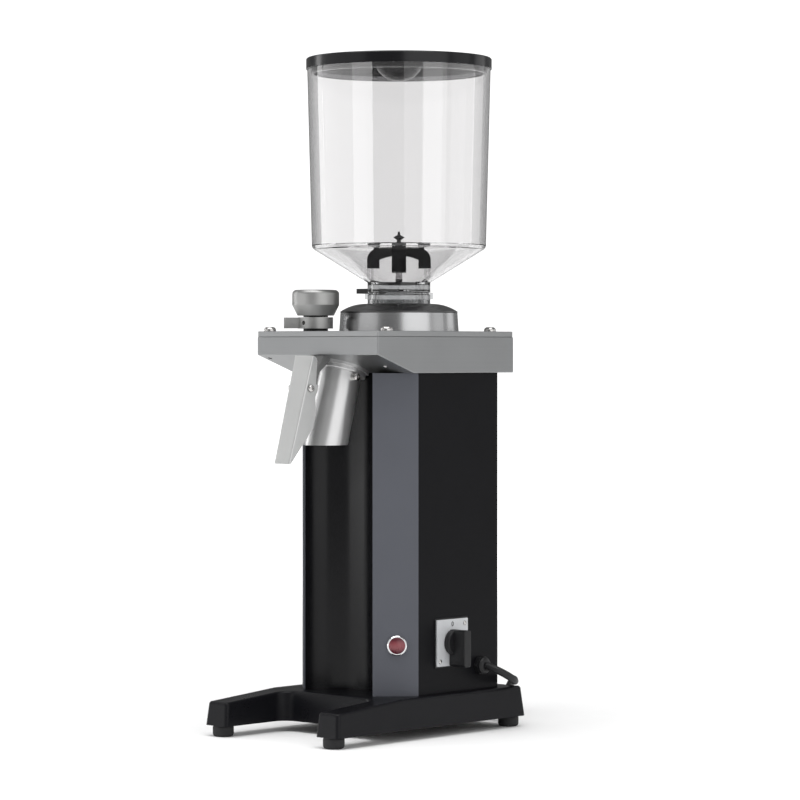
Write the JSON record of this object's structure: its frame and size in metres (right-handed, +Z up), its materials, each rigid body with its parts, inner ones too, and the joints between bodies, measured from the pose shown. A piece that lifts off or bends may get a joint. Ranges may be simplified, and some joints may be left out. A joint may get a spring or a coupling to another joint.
{
  "type": "burr coffee grinder",
  "caption": "Shop burr coffee grinder: clear lidded hopper, geared burr adjustment, slanted spout with bag clamp, motor column and forked base.",
  "frame": {"origin": "on the surface the feet stand on, straight below the burr and hopper axis", "axes": "+Z up; the spout and the user are on the -Y side; the switch and the lead on the +X side"},
  "size_m": [0.2343, 0.3814, 0.6484],
  "materials": {
    "base_black": "semi-gloss black enamel",
    "rubber_black": "moulded black rubber",
    "column_black": "satin black powder coat",
    "panel_grey": "satin blue-grey powder coat",
    "screw_steel": "bright steel",
    "cast_aluminium": "brushed aluminium",
    "ring_steel": "turned satin steel",
    "dome_black": "satin black",
    "gear_brass": "machined brass",
    "burr_steel": "hardened tool steel",
    "carrier_alu": "machined aluminium",
    "shaft_steel": "ground steel",
    "motor_iron": "laminated iron",
    "plastic_black": "moulded black plastic",
    "plastic_grey": "moulded grey plastic",
    "spout_steel": "polished steel",
    "lever_alu": "bead-blasted aluminium",
    "knob_alu": "turned satin aluminium",
    "hopper_clear": "clear moulded plastic",
    "seal_pale": "pale translucent plastic",
    "gloss_black": "gloss black plastic",
    "bezel_chrome": "bright chrome",
    "button_red": "red moulded plastic",
    "plate_silver": "satin silver plate",
    "lead_black": "black cable sheath"
  },
  "bodies": {
    "housing": {"base_frame": "base_black", "rubber_feet": "rubber_black", "front_panel": "column_black", "corner_panel_left": "panel_grey", "corner_panel_right": "panel_grey", "body_shell": "column_black", "rear_cover": "column_black", "rear_cover_screws": "screw_steel", "head_casting": "cast_aluminium", "top_plate": "cast_aluminium", "top_plate_screws": "screw_steel", "chamber_ring": "ring_steel", "dome_cap": "dome_black", "motor_bearings": "shaft_steel", "stator": "motor_iron", "motor_end_top": "cast_aluminium", "motor_end_bottom": "cast_aluminium", "capacitor": "plastic_grey", "terminal_block": "plastic_grey", "spout_tube": "spout_steel", "spout_flange": "spout_steel", "spout_screw": "screw_steel", "lever_bracket": "cast_aluminium", "lever_pivot_screw": "screw_steel", "clamp_spring": "shaft_steel", "knob_spacer": "plastic_black", "button_bezel": "bezel_chrome", "switch_plate": "plate_silver", "switch_body": "plastic_black", "cable_gland": "plastic_black", "mains_lead": "lead_black", "lead_coil": "lead_black", "mains_plug": "lead_black"},
    "drive": {"motor_shaft": "shaft_steel", "rotor": "motor_iron", "cooling_fan": "plastic_black", "lower_burr_carrier": "carrier_alu", "lower_burr": "burr_steel", "lower_burr_screws": "shaft_steel"},
    "adjuster": {"adjusting_ring": "gear_brass", "upper_burr_carrier": "carrier_alu", "upper_burr": "burr_steel", "upper_burr_screws": "shaft_steel"},
    "knob": {"adjusting_knob": "knob_alu", "knob_shaft": "plastic_black"},
    "lock": {"lock_lever": "knob_alu", "lock_screw": "screw_steel"},
    "clamp": {"clamp_lever": "lever_alu"},
    "hopper": {"hopper_body": "hopper_clear", "hopper_neck": "hopper_clear", "neck_base_ring": "hopper_clear", "finger_guard": "plastic_black", "guard_disc": "plastic_black", "star_nut": "plastic_black"},
    "gate": {"slide_gate": "plastic_black"},
    "lid": {"hopper_lid": "gloss_black", "lid_seal": "seal_pale"},
    "button": {"push_button": "button_red"},
    "selector": {"switch_handle": "plastic_black"}
  },
  "joints": [
    {"name": "burr_spin", "type": "hinge", "parent": "housing", "child": "drive", "pos_m": [0, 0, 0.345], "axis": [0, 0, 1], "continuous": true},
    {"name": "knob_turn", "type": "hinge", "parent": "housing", "child": "knob", "pos_m": [-0.03991, -0.07505, 0.39], "axis": [0, 0, 1], "range_deg": [-360, 360]},
    {"name": "ring_turn", "type": "hinge", "parent": "housing", "child": "adjuster", "pos_m": [0, 0, 0.374], "axis": [0, 0, 1], "range_deg": [-90.5, 90.5]},
    {"name": "lock_swing", "type": "hinge", "parent": "housing", "child": "lock", "pos_m": [-0.03991, -0.07505, 0.3915], "axis": [0, 0, 1], "range_deg": [-35, 20]},
    {"name": "clamp_swing", "type": "hinge", "parent": "housing", "child": "clamp", "pos_m": [0, -0.1357, 0.3295], "axis": [-1, 0, 0], "range_deg": [0, 18], "stiffness_Nm_per_rad": 0.25, "springref_deg": -20.05},
    {"name": "hopper_lift", "type": "slide", "parent": "housing", "child": "hopper", "axis": [0, 0, 1], "range_m": [0, 0.08]},
    {"name": "gate_slide", "type": "slide", "parent": "hopper", "child": "gate", "axis": [-1, 0, 0], "range_m": [0, 0.04]},
    {"name": "lid_lift", "type": "slide", "parent": "hopper", "child": "lid", "axis": [0, 0, 1], "range_m": [0, 0.06]},
    {"name": "button_press", "type": "slide", "parent": "housing", "child": "button", "axis": [-0.7071, 0.7071, 0], "range_m": [0, 0.002], "stiffness_N_per_m": 800, "springref_m": -0.001},
    {"name": "switch_turn", "type": "hinge", "parent": "housing", "child": "selector", "pos_m": [0.085, -0.0102, 0.0875], "axis": [1, 0, 0], "range_deg": [0, 90]}
  ],
  "couplings": [
    {"joint": "ring_turn", "follows": "knob_turn", "ratio": -0.25}
  ]
}
